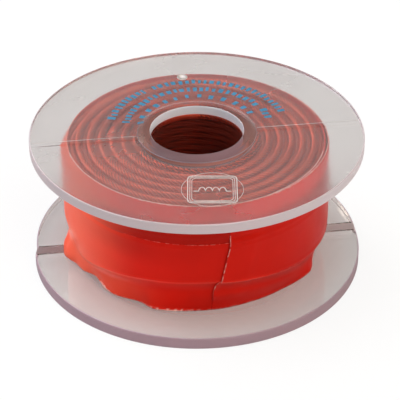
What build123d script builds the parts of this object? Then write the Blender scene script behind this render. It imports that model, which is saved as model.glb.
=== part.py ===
from build123d import *
from math import cos, radians, sin
import os

# Air core inductor: a clear moulded bobbin, wound with twisted copper wire and wrapped in two strips
# of tape. It stands on the lower flange: +Z runs up the bore, and the origin is the centre of the
# underside. The bobbin's mould parts on a plane through the bore, turned a little from the X axis.
# Lengths are in millimetres and angles in degrees.

# Bobbin
flange_radius = 41.0
lower_flange = 2.85  # thickness of the front half
upper_flange = 2.6
winding_gap = 29.75  # between the flanges, on the front half
rim_chamfer = 0.35
parting_angle = 8.0  # of the mould's parting plane, from +X towards +Y
rear_rise = 1.7  # the rear half of the lower flange stands higher inside
rear_inset = 0.5  # and its rim lies further in
underside_step = 0.3  # the rear half of the upper flange is thinner by this
bore_radius = 11.4
hub_wall = 2.6
rim_height = 0.65  # the bore's raised rim, above the upper flange
rim_land = 2.0  # width of the raised rim's flat top
rim_slope = 1.2  # width of the slope outside it
hub_corner = 0.5  # slope where the hub meets a flange

# Winding of twisted wire, each layer nested in the one below
wire_diameter = 1.8
layers = 12
layer_nesting = 0.795  # pitch of the layers, as a share of the wire
last_layer_share = 0.73  # of a full layer's turns
winding_clearance = 0.1

# Tape, two strips that lap
tape_width = 20.0
tape_thickness = 0.2
tape_clearance = 0.1
tape_lift = 0.15  # the lower strip's hem above the flange
hem_flare = 0.1  # how far the hem stands out from the neck above it, where it hangs straight
# The hem waves further out where the strip was pressed less: direction, and reach of each wave.
hem_waves = [
    (-174, 3.0),
    (-161, 0.9),
    (-148, 0.1),
    (-133, 0.6),
    (-121, 0.1),
    (-109, 1.0),
    (-92, 0.3),
    (-70, 0.0),
    (-54, 0.6),
    (-43, 0.2),
    (-27, 1.2),
    (-8, 0.1),
    (12, 1.0),
    (34, 0.2),
    (58, 1.3),
    (80, 0.3),
    (101, 0.8),
    (122, 0.2),
    (143, 1.1),
    (165, 0.6),
]

hub_radius = bore_radius + hub_wall
lower_top = lower_flange
rear_top = lower_top + rear_rise
upper_bottom = lower_top + winding_gap
upper_top = upper_bottom + upper_flange
rim_top = upper_top + rim_height
rear_flange_radius = flange_radius - rear_inset
swing = radians(parting_angle)
parting_plane = Plane(origin=(0, 0, 0), x_dir=(cos(swing), sin(swing), 0), z_dir=(0, 0, 1))


def half_section(low_radius, low_top, high_bottom):
    """Half of the bobbin's section on the local XY plane, with the bore axis as the local Y axis."""
    rim_inner = bore_radius + rim_land
    with BuildSketch(mode=Mode.PRIVATE) as section:
        with BuildLine():
            Polyline(
                (bore_radius, 0),
                (low_radius, 0),
                (low_radius, low_top),
                (hub_radius, low_top),
                (hub_radius, high_bottom),
                (flange_radius, high_bottom),
                (flange_radius, upper_top),
                (rim_inner + rim_slope, upper_top),
                (rim_inner, rim_top),
                (bore_radius, rim_top),
                close=True,
            )
        make_face()
        rims = section.vertices().filter_by(lambda corner: corner.X > rear_flange_radius - rim_chamfer)
        chamfer(rims, rim_chamfer)
        hub_corners = section.vertices().filter_by(lambda corner: abs(corner.X - hub_radius) < 1e-6)
        chamfer(hub_corners, hub_corner)
    return section.sketch


with BuildPart() as bobbin:
    # Each side of the mould makes half a turn of its own section.
    for turn, section in (
        (180.0, half_section(flange_radius, lower_top, upper_bottom)),
        (0.0, half_section(rear_flange_radius, rear_top, upper_bottom + underside_step)),
    ):
        start = radians(parting_angle + turn)
        upright = Plane(origin=(0, 0, 0), x_dir=(cos(start), sin(start), 0), z_dir=(sin(start), -cos(start), 0))
        with BuildSketch(upright):
            add(section)
        revolve(axis=Axis.Z, revolution_arc=180)

# The turns seat on the raised half of the lower flange and reach up to the upper flange. Every other
# layer starts half a turn lower, so that each turn lies in the groove between two of the layer below.
winding_bottom = rear_top
winding_top = upper_bottom - winding_clearance
winding_inner = hub_radius + winding_clearance
winding_height = winding_top - winding_bottom
turns = int(winding_height / wire_diameter - 0.5)  # in a full layer
turn_pitch = winding_height / (turns + 0.5)
layer_pitch = layer_nesting * wire_diameter
winding_outer = winding_inner + layers * layer_pitch
last_layer_inner = winding_outer - layer_pitch
last_layer_bottom = winding_top - round(last_layer_share * turns) * turn_pitch
end_groove = turn_pitch / 2  # depth between two layers that reach the upper flange
bore_groove = wire_diameter / 4  # depth between two turns on the hub

with BuildPart() as winding:
    with BuildSketch(Plane.XZ):
        with BuildLine():
            hub_turns = []
            for turn in range(turns):
                crest = winding_bottom + (turn + 0.5) * turn_pitch
                hub_turns += [(winding_inner, crest), (winding_inner + bore_groove, crest + turn_pitch / 2)]
            end_layers = []
            for layer in range(0, layers, 2):
                crest = winding_inner + (layer + 0.5) * layer_pitch
                end_layers += [(crest, winding_top), (crest + layer_pitch, winding_top - end_groove)]
            Polyline(
                (winding_inner + hub_corner, winding_bottom),
                *hub_turns,
                *end_layers,
                (winding_outer, winding_top - end_groove),
                (winding_outer, last_layer_bottom),
                (last_layer_inner, last_layer_bottom),
                (last_layer_inner, winding_bottom),
                close=True,
            )
        make_face()
    revolve(axis=Axis.Z)

upper_tape_inner = winding_outer + tape_clearance
upper_tape_bottom = winding_top - tape_width

with BuildPart() as upper_tape:
    with BuildSketch(Plane.XY.offset(upper_tape_bottom)):
        Circle(upper_tape_inner + tape_thickness)
        Circle(upper_tape_inner, mode=Mode.SUBTRACT)
    extrude(amount=tape_width)

lower_tape_inner = upper_tape_inner + tape_thickness + tape_clearance
lower_tape_bottom = lower_top + tape_lift
lower_tape_top = lower_tape_bottom + tape_width
neck_inner = last_layer_inner + 2 * tape_clearance
hem_inner = neck_inner + hem_flare
shoulder_top = min(last_layer_bottom, upper_tape_bottom) - tape_clearance
neck_height = (rear_top + tape_lift + shoulder_top) / 2

with BuildPart() as lower_tape:
    # The wall lies on the upper strip, and a shoulder draws in to the neck below the last layer's turns.
    with BuildSketch(Plane.XZ):
        with BuildLine():
            Polyline(
                (neck_inner, neck_height),
                (lower_tape_inner, shoulder_top),
                (lower_tape_inner, lower_tape_top),
                (lower_tape_inner + tape_thickness, lower_tape_top),
                (lower_tape_inner + tape_thickness, shoulder_top),
                (neck_inner + tape_thickness, neck_height),
                close=True,
            )
        make_face()
    revolve(axis=Axis.Z)
    # The hem runs from the neck down to its wavy edge.
    for thickness, mode in ((tape_thickness, Mode.ADD), (0.0, Mode.SUBTRACT)):
        with BuildSketch(Plane.XY.offset(lower_tape_bottom)):
            with BuildLine():
                points = []
                for direction, wave in hem_waves:
                    reach = hem_inner + thickness + wave
                    points.append((reach * cos(radians(direction)), reach * sin(radians(direction))))
                Spline(*points, periodic=True)
            make_face()
        with BuildSketch(Plane.XY.offset(neck_height)):
            with BuildLine():
                CenterArc((0, 0), neck_inner + thickness, hem_waves[0][0], 360)
            make_face()
        loft(ruled=True, mode=mode)
    # The hem is trimmed clear of the raised half of the lower flange.
    with BuildSketch(parting_plane.offset(lower_top)):
        with Locations((0, -tape_lift)):
            Rectangle(2 * flange_radius, flange_radius, align=(Align.CENTER, Align.MIN))
    extrude(amount=rear_rise + tape_lift, mode=Mode.SUBTRACT)

os.makedirs("parts", exist_ok=True)
for name, piece in (
    ("bobbin", bobbin),
    ("winding", winding),
    ("upper_tape", upper_tape),
    ("lower_tape", lower_tape),
):
    piece.part.label = name
    export_step(piece.part, f"parts/{name}.step")
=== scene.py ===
"""Air core inductor: a clear bobbin wound with twisted enamelled wire and wrapped in two strips of red tape.

Shapes are worked out in millimetres with numpy and put into meshes in metres. The bore is on the Z axis
and the lower flange stands on z = 0.
"""

import bpy  # noqa: E402
import numpy as np  # noqa: E402
from bpy.props import FloatProperty, FloatVectorProperty, IntProperty, PointerProperty  # noqa: E402
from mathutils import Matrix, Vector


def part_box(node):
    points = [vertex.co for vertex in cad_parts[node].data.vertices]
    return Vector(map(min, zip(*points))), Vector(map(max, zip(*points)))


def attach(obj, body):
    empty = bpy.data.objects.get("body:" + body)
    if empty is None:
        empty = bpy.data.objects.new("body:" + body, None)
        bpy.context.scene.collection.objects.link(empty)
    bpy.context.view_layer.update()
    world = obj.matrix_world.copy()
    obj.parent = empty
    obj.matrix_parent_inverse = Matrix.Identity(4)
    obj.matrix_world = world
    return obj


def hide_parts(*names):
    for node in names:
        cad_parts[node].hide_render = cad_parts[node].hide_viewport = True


bl_info = {
    "name": "Air Core Inductor",
    "version": (1, 0, 0),
    "blender": (4, 5, 0),
    "location": "3D View > Sidebar > Inductor",
    "description": "Builds a taped air core inductor on a clear moulded bobbin",
    "category": "Add Mesh",
}

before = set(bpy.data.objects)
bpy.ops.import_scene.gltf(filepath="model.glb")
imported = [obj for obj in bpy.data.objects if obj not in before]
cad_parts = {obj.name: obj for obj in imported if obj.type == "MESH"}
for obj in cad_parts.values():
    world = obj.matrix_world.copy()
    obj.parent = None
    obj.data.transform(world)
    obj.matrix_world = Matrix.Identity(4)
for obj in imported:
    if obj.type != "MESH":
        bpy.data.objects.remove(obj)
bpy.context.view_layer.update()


def cad_size(node):
    """Outer radius, lowest and highest point of a CAD node, in millimetres."""
    low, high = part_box(node)
    return 1000 * float(high.x), 1000 * float(low.z), 1000 * float(high.z)


BOBBIN_RADIUS, _, BOBBIN_TOP = cad_size("bobbin")
WINDING_RADIUS, WINDING_BOTTOM, WINDING_TOP = cad_size("winding")
UPPER_TAPE_RADIUS, UPPER_TAPE_BOTTOM, UPPER_TAPE_TOP = cad_size("upper_tape")
_, LOWER_TAPE_BOTTOM, LOWER_TAPE_TOP = cad_size("lower_tape")

# Lower part of the lower strip, in millimetres by direction in degrees: radius and height of its hem, radius and
# height of its waist, height of the fold where it leaves the wall, and how far the wall stands out above it.
SKIRT = [
    (-180, 32.6, 4.85, 31.85, 8.6, 13.0, 0.0), (-176, 33.1, 4.8, 31.85, 8.8, 13.0, 0.0),
    (-172.6, 33.6, 4.7, 31.85, 8.8, 12.6, 0.0), (-171, 33.75, 3.3, 31.8, 8.6, 12.4, 0.0),
    (-168, 33.5, 3.05, 31.7, 8.2, 12.0, 0.0), (-165, 32.7, 3.05, 31.4, 7.6, 11.2, 0.0),
    (-162, 31.7, 3.05, 31.1, 7.0, 10.2, 0.0), (-158, 31.1, 3.05, 30.7, 6.4, 9.2, 0.0),
    (-154, 30.7, 3.1, 30.4, 6.2, 8.8, 0.0), (-149, 30.0, 3.6, 30.2, 6.2, 8.8, 0.0),
    (-143, 29.9, 4.1, 30.15, 6.6, 9.4, 0.0), (-137, 30.2, 3.5, 30.1, 6.8, 10.1, 0.0),
    (-131, 30.5, 3.1, 30.1, 7.2, 10.6, 0.0), (-126, 30.2, 3.05, 30.1, 7.6, 11.0, 0.0),
    (-121, 29.7, 3.1, 30.1, 7.8, 11.4, 0.0), (-116, 29.8, 3.2, 30.1, 8.0, 11.8, 0.0),
    (-111, 30.6, 3.05, 30.15, 8.2, 12.1, 0.0), (-104, 30.4, 3.0, 30.1, 8.4, 12.3, 0.0),
    (-98, 29.9, 3.0, 30.1, 8.6, 12.5, 0.0), (-91, 29.6, 3.0, 30.1, 8.8, 12.7, 0.0),
    (-84, 29.5, 3.0, 30.1, 8.9, 12.7, 0.0), (-78, 29.35, 3.0, 30.1, 8.8, 12.6, 0.0),
    (-72, 29.1, 3.0, 30.1, 8.6, 12.4, 0.0), (-64, 29.0, 3.0, 30.15, 8.2, 12.0, 0.0),
    (-57, 29.15, 3.0, 30.15, 7.8, 11.5, 0.0), (-50, 29.3, 3.0, 30.15, 7.4, 10.9, 0.05),
    (-44, 29.5, 3.0, 30.15, 7.0, 10.4, 0.1), (-39, 29.9, 3.0, 30.15, 6.6, 10.0, 0.15),
    (-34, 30.35, 3.0, 30.15, 6.3, 9.7, 0.25), (-29, 30.8, 3.0, 30.15, 6.0, 9.6, 0.35),
    (-26, 31.0, 3.0, 30.1, 5.9, 9.6, 0.4), (-22, 30.7, 3.0, 30.1, 5.7, 9.5, 0.5), (-16, 29.8, 3.0, 30.1, 5.5, 9.3, 0.6),
    (-10, 29.6, 3.05, 30.1, 5.6, 9.0, 0.7), (-4, 29.7, 3.2, 30.2, 6.0, 8.8, 0.75), (5, 30.2, 4.8, 30.3, 7.0, 9.2, 0.7),
    (16, 31.0, 4.8, 30.3, 7.6, 10.2, 0.5), (34, 30.2, 4.8, 30.2, 7.8, 10.6, 0.3), (58, 31.3, 4.8, 30.2, 8.0, 11.2, 0.1),
    (80, 30.3, 4.8, 30.2, 8.0, 11.4, 0.0), (101, 30.8, 4.8, 30.2, 8.0, 11.4, 0.0), (122, 30.2, 4.8, 30.2, 8.0, 11.2, 0.0),
    (143, 31.1, 4.8, 30.5, 8.0, 11.2, 0.0), (162, 31.7, 4.8, 31.3, 8.2, 12.2, 0.0), (172, 32.0, 4.8, 31.7, 8.4, 12.8, 0.0),
]  # fmt: skip

# Ends of the lower strip and of the lap over it: height in millimetres and direction in degrees.
SEAM = [(2.0, -83.4), (5.0, -83.1), (7.8, -82.8), (9.4, -82.6), (11.1, -81.9), (12.5, -80.1), (13.4, -76.0), (23.5, -70.0)]
LAP_SEAM = [(10.0, -80.6), (12.6, -79.7), (14.5, -78.9), (18.6, -77.5), (22.3, -76.0), (25.3, -75.7), (33.0, -75.0)]

# Lower edge of the lap: direction in degrees and height in millimetres.
LAP_EDGE = [(-80, 12.7), (-61, 11.6), (-40, 10.8), (-28, 10.5), (0, 10.2), (40, 10.4), (90, 11.0), (150, 11.6)]


# ---------------------------------------------------------------- shapes


def smooth(t):
    """Eases from 0 to 1: three t squared less two t cubed, with t held from 0 to 1."""
    t = np.clip(t, 0.0, 1.0)
    return t * t * (3 - 2 * t)


def ripple(x, period, seed, terms=4):
    """Soft irregular wave of about one in height that repeats after period: a sum of sines whose whole-number
    frequencies and phases are drawn from the seed, each weighed by one over its place."""
    draw = np.random.default_rng(seed)
    total = np.zeros_like(np.asarray(x, float))
    for place in range(1, terms + 1):
        turns = draw.integers(place * 2, place * 4 + 2)
        total = total + np.sin(2 * np.pi * (turns * np.asarray(x) / period + draw.random())) / place
    return total / 1.6


def around(table, angle, column=1):
    """Value of a table of (direction, value, ...) rows at any direction in degrees, repeating after a turn: a
    cubic through the rows whose slope at each is the slope between its two neighbours."""
    rows = np.array(table, float)
    rows = rows[np.argsort(rows[:, 0])]
    knots = np.concatenate([rows[-2:, 0] - 360, rows[:, 0], rows[:2, 0] + 360])
    values = np.concatenate([rows[-2:, column], rows[:, column], rows[:2, column]])
    slopes = np.gradient(values, knots)
    angle = (np.asarray(angle, float) - rows[0, 0]) % 360 + rows[0, 0]
    place = np.clip(np.searchsorted(knots, angle, side="right") - 1, 0, len(knots) - 2)
    span = knots[place + 1] - knots[place]
    t = (angle - knots[place]) / span
    start, end = values[place], values[place + 1]
    rise, fall = slopes[place] * span, slopes[place + 1] * span
    return (
        (2 * t**3 - 3 * t**2 + 1) * start
        + (t**3 - 2 * t**2 + t) * rise
        + (3 * t**2 - 2 * t**3) * end
        + (t**3 - t**2) * fall
    )


def rounded(corners, radii, steps, margin=0.15):
    """Closed outline with its corners rounded. At each corner an arc touches both sides: its centre lies on the
    corner's bisector, its radius over the sine of half the angle away. A point a margin before and after each
    arc keeps the flats flat when they are shaded smooth."""
    corners, radii = np.asarray(corners, float), np.asarray(radii, float)[:, None]
    margin = np.broadcast_to(margin, len(corners))[:, None]
    back = np.roll(corners, 1, 0) - corners
    ahead = np.roll(corners, -1, 0) - corners
    back /= np.linalg.norm(back, axis=1)[:, None]
    ahead /= np.linalg.norm(ahead, axis=1)[:, None]
    half = np.arccos(np.clip((back * ahead).sum(1), -1, 1))[:, None] / 2
    bisector = back + ahead
    bisector /= np.linalg.norm(bisector, axis=1)[:, None]
    centre = corners + bisector * radii / np.sin(half)
    touch = radii / np.tan(half)
    first, last = corners + back * touch - centre, corners + ahead * touch - centre
    sweep = (np.pi - 2 * half)[:, None, :]
    t = np.linspace(0, 1, steps)[None, :, None]
    arc = centre[:, None] + (np.sin((1 - t) * sweep) * first[:, None] + np.sin(t * sweep) * last[:, None]) / np.sin(
        sweep
    )
    before = (corners + back * (touch + margin))[:, None]
    after = (corners + ahead * (touch + margin))[:, None]
    return np.concatenate([before, arc, after], 1).reshape(-1, 2)


def quads(rows, columns, wrap_rows, wrap_columns, start=0):
    """Faces of a grid of points numbered along its columns first: each joins a point, the next in its row, and the
    two beside them in the next row. A wrapped side joins its last line to its first."""
    i = np.arange(rows if wrap_rows else rows - 1)
    j = np.arange(columns if wrap_columns else columns - 1)
    i, j = np.meshgrid(i, j, indexing="ij")
    k, m = (i + 1) % rows, (j + 1) % columns
    return start + np.stack([i * columns + j, k * columns + j, k * columns + m, i * columns + m], -1).reshape(-1, 4)


def volume(points, faces):
    """Signed volume inside closed faces: a sixth of the triple product of each triangle's corners, summed."""
    a, b, c, d = (points[faces[:, n]] for n in range(4))
    return float((np.cross(a, b) * c).sum() + (np.cross(a, c) * d).sum()) / 6


def closed_mesh(name, parts, material, smooth_shading=True):
    """One mesh in metres from closed parts, each (points in millimetres, four-cornered faces, values by attribute
    name). A part whose signed volume is negative is turned inside out, so that every face looks outwards."""
    points, faces, values, count = [], [], {}, 0
    for part_points, part_faces, part_values in parts:
        if volume(part_points, part_faces) < 0:
            part_faces = part_faces[:, ::-1]
        points.append(part_points)
        faces.append(part_faces + count)
        for key, value in part_values.items():
            values.setdefault(key, []).append(np.broadcast_to(value, len(part_points)))
        count += len(part_points)
    points, faces = np.concatenate(points) / 1000, np.concatenate(faces)
    # A four-cornered face whose corner repeats becomes a triangle.
    ring = [list(dict.fromkeys(face)) for face in faces.tolist()]
    mesh = bpy.data.meshes.new(name)
    mesh.from_pydata(points, [], [face for face in ring if len(face) > 2])
    mesh.validate(clean_customdata=False)
    for key, value in values.items():
        mesh.attributes.new(key, "FLOAT", "POINT").data.foreach_set("value", np.concatenate(value).astype(np.float32))
    mesh.polygons.foreach_set("use_smooth", np.full(len(mesh.polygons), smooth_shading))
    mesh.materials.append(material)
    mesh.update()
    piece = bpy.data.objects.new(name, mesh)
    bpy.context.scene.collection.objects.link(piece)
    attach(piece, "root")
    return piece


def turned(profile, angles):
    """Points of a closed profile of (radius, height) turned about the bore: each profile point at each angle."""
    radius, height = profile[:, 0], profile[:, 1]
    return np.stack(
        [
            np.cos(angles)[:, None] * radius,
            np.sin(angles)[:, None] * radius,
            np.broadcast_to(height, (len(angles), len(profile))),
        ],
        -1,
    )


def revolve(profile, steps=256):
    """Closed ring of a closed profile of (radius, height): the profile turned once about the bore."""
    angles = np.linspace(0, 2 * np.pi, steps, endpoint=False)
    points = turned(profile, angles)
    return points.reshape(-1, 3), quads(steps, len(profile), True, True), {}


def rope(angle, radius, height, wire, strands, lay):
    """Twisted wire along a path given by its angle, radius and height. The section is the outline of strands that
    touch each other round a middle one: at an angle a from a strand's centre it reaches c cos a plus the root of
    s squared less (c sin a) squared, with s a strand's radius and c its distance from the middle. It turns once in
    each lay, and its points turn with it, so that they follow the strands."""
    middle = wire / 3
    strand = wire / 6
    corner = np.linspace(-0.5, 0.5, 4, endpoint=False) * (2 * np.pi / strands)
    inside = np.clip(strand**2 - (middle * np.sin(corner)) ** 2, 0, None)
    reach = np.tile(middle * np.cos(corner) + np.sqrt(inside), strands)
    section = (np.arange(strands)[:, None] * (2 * np.pi / strands) + corner).reshape(-1)
    centre = np.stack([radius * np.cos(angle), radius * np.sin(angle), height], -1)
    run = np.gradient(centre, axis=0)
    along = np.concatenate([[0], np.cumsum(np.linalg.norm(np.diff(centre, axis=0), axis=1))])
    run /= np.linalg.norm(run, axis=1)[:, None]
    out = np.stack([np.cos(angle), np.sin(angle), np.zeros_like(angle)], -1)
    out -= run * (out * run).sum(1)[:, None]
    out /= np.linalg.norm(out, axis=1)[:, None]
    up = np.cross(run, out)
    twist = section[None, :] + (2 * np.pi * along / lay)[:, None]
    points = centre[:, None] + reach[None, :, None] * (
        np.cos(twist)[..., None] * out[:, None] + np.sin(twist)[..., None] * up[:, None]
    )
    rows, columns = points.shape[:2]
    points = np.concatenate([points.reshape(-1, 3), centre[[0, -1]]])
    faces = quads(rows, columns, False, True)
    ring = np.arange(columns)
    first, last = rows * columns, rows * columns + 1
    start_cap = np.stack([ring, (ring + 1) % columns, np.full(columns, first), np.full(columns, first)], -1)
    tail = (rows - 1) * columns
    end_cap = np.stack(
        [tail + (ring + 1) % columns, tail + ring, np.full(columns, last), np.full(columns, last)], -1
    )
    # Painted shade between strands: one in the valleys, nought on the crowns.
    groove_shade = np.tile(np.concatenate([[1.0, 0.25, 0.0, 0.25]] * strands), rows)
    values = {"groove_shade": np.concatenate([groove_shade, [1.0, 1.0]]), "along": np.append(np.repeat(along, columns), [0, 0])}
    return points, np.concatenate([faces, start_cap, end_cap]), values


def shell(inner, outer, wrap, values=None):
    """Closed wall of little thickness between two grids of the same shape: the outer grid, the inner one, and the
    strips that join their edges. A wrapped wall goes all the way round and has no end strips."""
    rows, columns = outer.shape[:2]
    grid = rows * columns
    points = np.concatenate([outer.reshape(-1, 3), inner.reshape(-1, 3)])
    faces = [quads(rows, columns, wrap, False), quads(rows, columns, wrap, False, grid)[:, ::-1]]
    number = np.arange(grid).reshape(rows, columns)
    edges = [(number[:, 0], True), (number[:, -1], False)]
    if not wrap:
        edges += [(number[0], False), (number[-1], True)]
    for place, (edge, turn) in enumerate(edges):
        after = np.roll(edge, -1)
        if not (wrap and place < 2):
            edge, after = edge[:-1], after[:-1]
        strip = np.stack([edge, after, after + grid, edge + grid], -1)
        faces.append(strip[:, ::-1] if turn else strip)
    values = {key: np.concatenate([value.reshape(-1)] * 2) for key, value in (values or {}).items()}
    return points, np.concatenate(faces), values


# ---------------------------------------------------------------- node groups and materials


def group(name, inputs, outputs):
    """New shader node group with named sockets, and its input and output nodes."""
    tree = bpy.data.node_groups.new(name, "ShaderNodeTree")
    for socket, kind, default in inputs:
        made = tree.interface.new_socket(socket, in_out="INPUT", socket_type=kind)
        made.default_value = default
    for socket, kind in outputs:
        tree.interface.new_socket(socket, in_out="OUTPUT", socket_type=kind)
    return tree, tree.nodes.new("NodeGroupInput"), tree.nodes.new("NodeGroupOutput")


def add(tree, kind, links=None, **settings):
    """Adds a node, sets its properties, or its inputs where the name is one, and links what links names."""
    node = tree.nodes.new(kind)
    for key, value in settings.items():
        setattr(node, key, value)
    for key, value in (links or {}).items():
        socket = node.inputs[key]
        if isinstance(value, bpy.types.NodeSocket):
            tree.links.new(value, socket)
        else:
            socket.default_value = value
    return node


def smudge_group():
    """Handling marks: broad soft blotches and fine grain. Puts out a roughness, a height for a bump, and the
    blotches as a mask."""
    tree, given, out = group(
        "Handling marks",
        [
            ("Scale", "NodeSocketFloat", 60.0),
            ("Smooth", "NodeSocketFloat", 0.1),
            ("Rough", "NodeSocketFloat", 0.3),
            ("Grain", "NodeSocketFloat", 0.3),
        ],
        [("Roughness", "NodeSocketFloat"), ("Height", "NodeSocketFloat"), ("Mask", "NodeSocketFloat")],
    )
    where = add(tree, "ShaderNodeTexCoord").outputs["Object"]
    broad = add(
        tree,
        "ShaderNodeTexNoise",
        {"Vector": where, "Scale": given.outputs["Scale"], "Detail": 4.0, "Roughness": 0.6},
    )
    finer = add(tree, "ShaderNodeMath", {0: given.outputs["Scale"], 1: 40.0}, operation="MULTIPLY")
    grain = add(
        tree, "ShaderNodeTexNoise", {"Vector": where, "Scale": finer.outputs[0], "Detail": 3.0, "Roughness": 0.7}
    )
    mask = add(
        tree,
        "ShaderNodeMapRange",
        {"Value": broad.outputs["Fac"], "From Min": 0.35, "From Max": 0.7},
        interpolation_type="SMOOTHSTEP",
    )
    roughness = add(
        tree,
        "ShaderNodeMapRange",
        {
            "Value": mask.outputs["Result"],
            "To Min": given.outputs["Smooth"],
            "To Max": given.outputs["Rough"],
        },
    )
    height = add(
        tree, "ShaderNodeMath", {0: grain.outputs["Fac"], 1: given.outputs["Grain"]}, operation="MULTIPLY"
    )
    total = add(tree, "ShaderNodeMath", {0: height.outputs[0], 1: broad.outputs["Fac"]}, operation="ADD")
    tree.links.new(roughness.outputs["Result"], out.inputs["Roughness"])
    tree.links.new(total.outputs[0], out.inputs["Height"])
    tree.links.new(mask.outputs["Result"], out.inputs["Mask"])
    return tree


def new_material(name):
    """Empty material with a Principled shader and an output, and their node tree."""
    material = bpy.data.materials.new(name)
    material.use_nodes = True
    tree = material.node_tree
    tree.nodes.clear()
    surface = tree.nodes.new("ShaderNodeBsdfPrincipled")
    output = tree.nodes.new("ShaderNodeOutputMaterial")
    tree.links.new(surface.outputs[0], output.inputs["Surface"])
    return material, tree, surface, output


def marks(tree, scale, smooth_part, rough_part, grain):
    """Handling marks placed in a material with its own values."""
    node = tree.nodes.new("ShaderNodeGroup")
    node.node_tree = bpy.data.node_groups.get("Handling marks") or smudge_group()
    for key, value in (("Scale", scale), ("Smooth", smooth_part), ("Rough", rough_part), ("Grain", grain)):
        node.inputs[key].default_value = value
    return node


def bump(tree, height, strength, distance, surface):
    """Bump from a height, feeding the shader's normal."""
    node = add(tree, "ShaderNodeBump", {"Height": height, "Strength": strength, "Distance": distance})
    tree.links.new(node.outputs["Normal"], surface.inputs["Normal"])
    return node


def mixed(tree, factor, low, high):
    """Colour between two by a factor."""
    node = add(tree, "ShaderNodeMix", data_type="RGBA")
    for place, value in ((0, factor), (6, low), (7, high)):
        if isinstance(value, bpy.types.NodeSocket):
            tree.links.new(value, node.inputs[place])
        else:
            node.inputs[place].default_value = value
    return node.outputs[2]


def colour(values, share=1.0):
    """Colour with an alpha of one, its red, green and blue multiplied by a share."""
    return (*(min(1.0, value * share) for value in values), 1.0)


def lamps_through(tree, surface, output, tint):
    """Lets lamps shine through a plastic: its shader is clear where light is on its way to a lamp."""
    through = add(tree, "ShaderNodeBsdfTransparent", {"Color": tint})
    choose = add(tree, "ShaderNodeMixShader", {0: add(tree, "ShaderNodeLightPath").outputs["Is Shadow Ray"]})
    tree.links.new(surface.outputs[0], choose.inputs[1])
    tree.links.new(through.outputs[0], choose.inputs[2])
    tree.links.new(choose.outputs[0], output.inputs["Surface"])


def bore_from_inside(tree, surface, settings):
    """The bore's wall as it looks from inside the plastic, painted in place of the light from the bore that comes
    through it: painted shade in the raised rim's tone at its top, and below that a painted glow of the turns beside it."""
    wall = add(tree, "ShaderNodeAttribute", attribute_name="wall").outputs["Fac"]
    back = add(tree, "ShaderNodeNewGeometry").outputs["Backfacing"]
    where = add(tree, "ShaderNodeTexCoord").outputs["Object"]
    high = add(tree, "ShaderNodeSeparateXYZ", {0: where}).outputs["Z"]
    top = BOBBIN_TOP / 1000
    rising = add(tree, "ShaderNodeMapRange", {"Value": high, "From Min": top - 0.006, "From Max": top - 0.0045})
    # Painted shade in the raised rim's tone at the top, and a painted glow of the turns below it.
    tint = mixed(tree, rising.outputs[0], colour(settings.painted_turn_glow), colour(settings.painted_rim_shade))
    glow = add(tree, "ShaderNodeBsdfTranslucent", {"Color": tint})
    plain = add(tree, "ShaderNodeBsdfDiffuse", {"Color": tint})
    both = add(tree, "ShaderNodeMixShader", {0: 0.5})
    tree.links.new(glow.outputs[0], both.inputs[1])
    tree.links.new(plain.outputs[0], both.inputs[2])
    share = add(tree, "ShaderNodeMath", {0: wall, 1: back}, operation="MULTIPLY")
    side = add(tree, "ShaderNodeMixShader", {0: share.outputs[0]})
    tree.links.new(surface.outputs[0], side.inputs[1])
    tree.links.new(both.outputs[0], side.inputs[2])
    return side


def clear_plastic(settings, name="clear_moulded_plastic", clearness=None):
    """Clear moulded plastic with a faint haze, rougher on the face over the winding. Lamps shine through it."""
    material, tree, surface, output = new_material(name)
    worn = marks(tree, 45.0, 0.03, 0.09, 0.02)
    tint = mixed(tree, worn.outputs["Mask"], colour(settings.plastic), colour(settings.plastic, 0.96))
    tree.links.new(tint, surface.inputs["Base Color"])
    haze = add(tree, "ShaderNodeAttribute", attribute_name="haze").outputs["Fac"]
    rough = add(tree, "ShaderNodeMath", {0: haze, 1: 0.2, 2: worn.outputs["Roughness"]}, operation="MULTIPLY_ADD")
    tree.links.new(rough.outputs[0], surface.inputs["Roughness"])
    surface.inputs["Transmission Weight"].default_value = settings.clearness if clearness is None else clearness
    surface.inputs["IOR"].default_value = 1.49
    bump(tree, worn.outputs["Height"], 0.02, 0.0001, surface)
    # From inside the plastic, the bore's wall shows painted shade and a painted glow of the turns.
    lamps_through(tree, bore_from_inside(tree, surface, settings), output, colour(settings.plastic, 1.25))
    return material


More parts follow.
